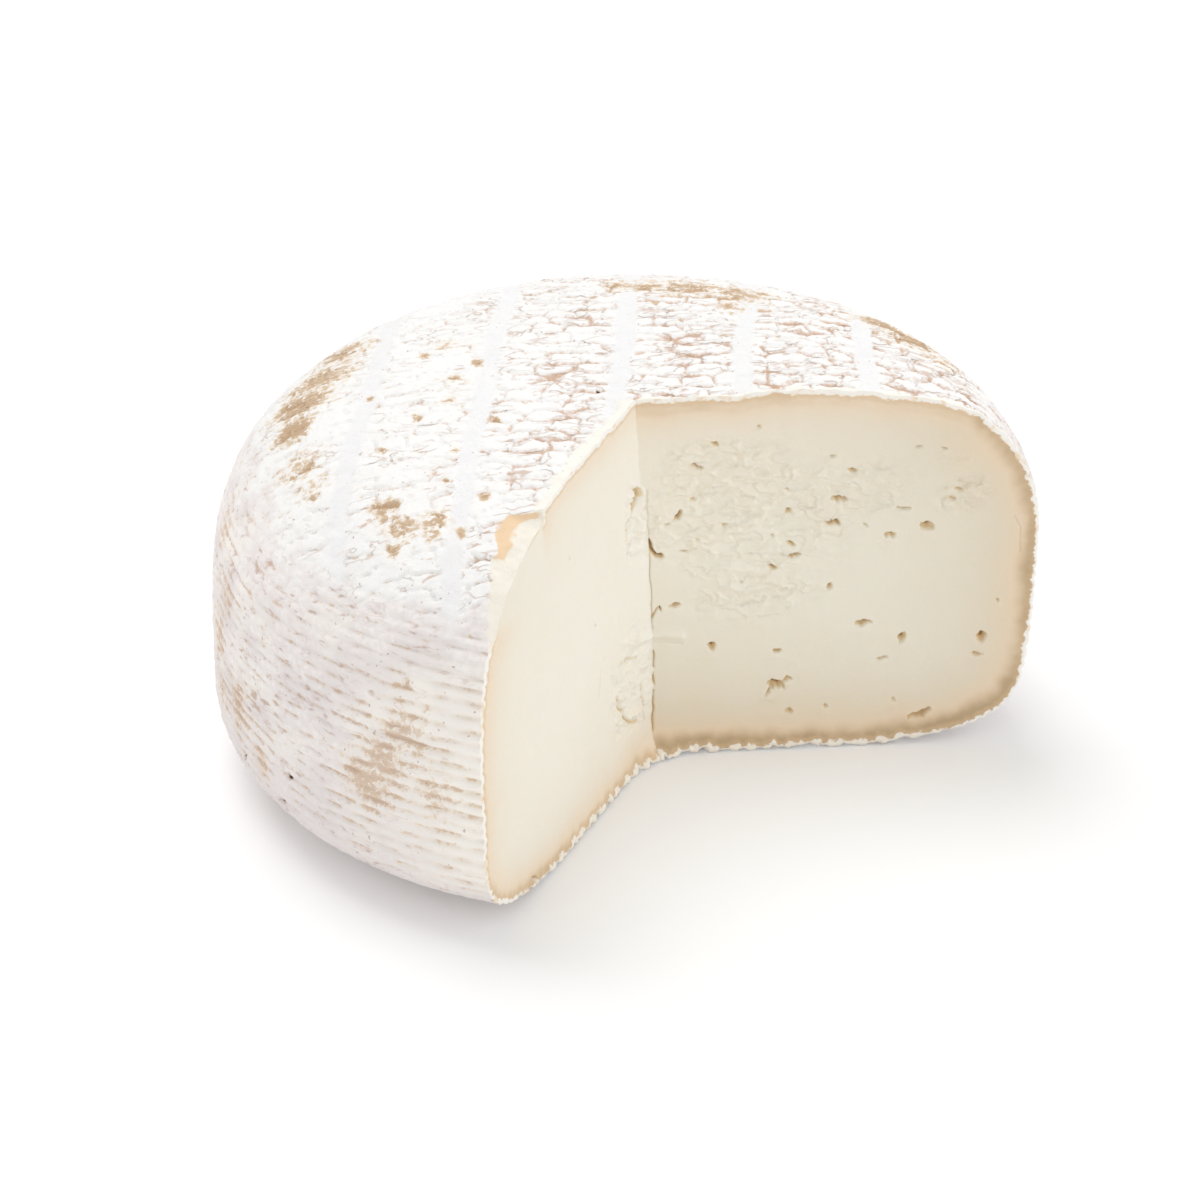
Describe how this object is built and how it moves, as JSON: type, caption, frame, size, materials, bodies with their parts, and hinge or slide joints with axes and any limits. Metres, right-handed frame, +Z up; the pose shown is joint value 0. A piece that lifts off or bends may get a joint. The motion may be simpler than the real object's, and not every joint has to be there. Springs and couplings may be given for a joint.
{
  "type": "cheese wheel",
  "caption": "Small round ripened cheese with a wide wedge cut out, domed top, rounded shoulder and foot, moulded rind and pale paste on two cut faces.",
  "frame": {"origin": "on the wheel's axis, in the plane of the flat base it stands on", "axes": "+Z up along the wheel's axis; +X along the cut face on the right, from the middle of the wheel to the rind; the missing wedge opens towards -Y"},
  "size_m": [0.1969, 0.1942, 0.096],
  "materials": {
    "cheese": "matte"
  },
  "bodies": {
    "root": {"cheese_wheel": "cheese"}
  },
  "joints": []
}
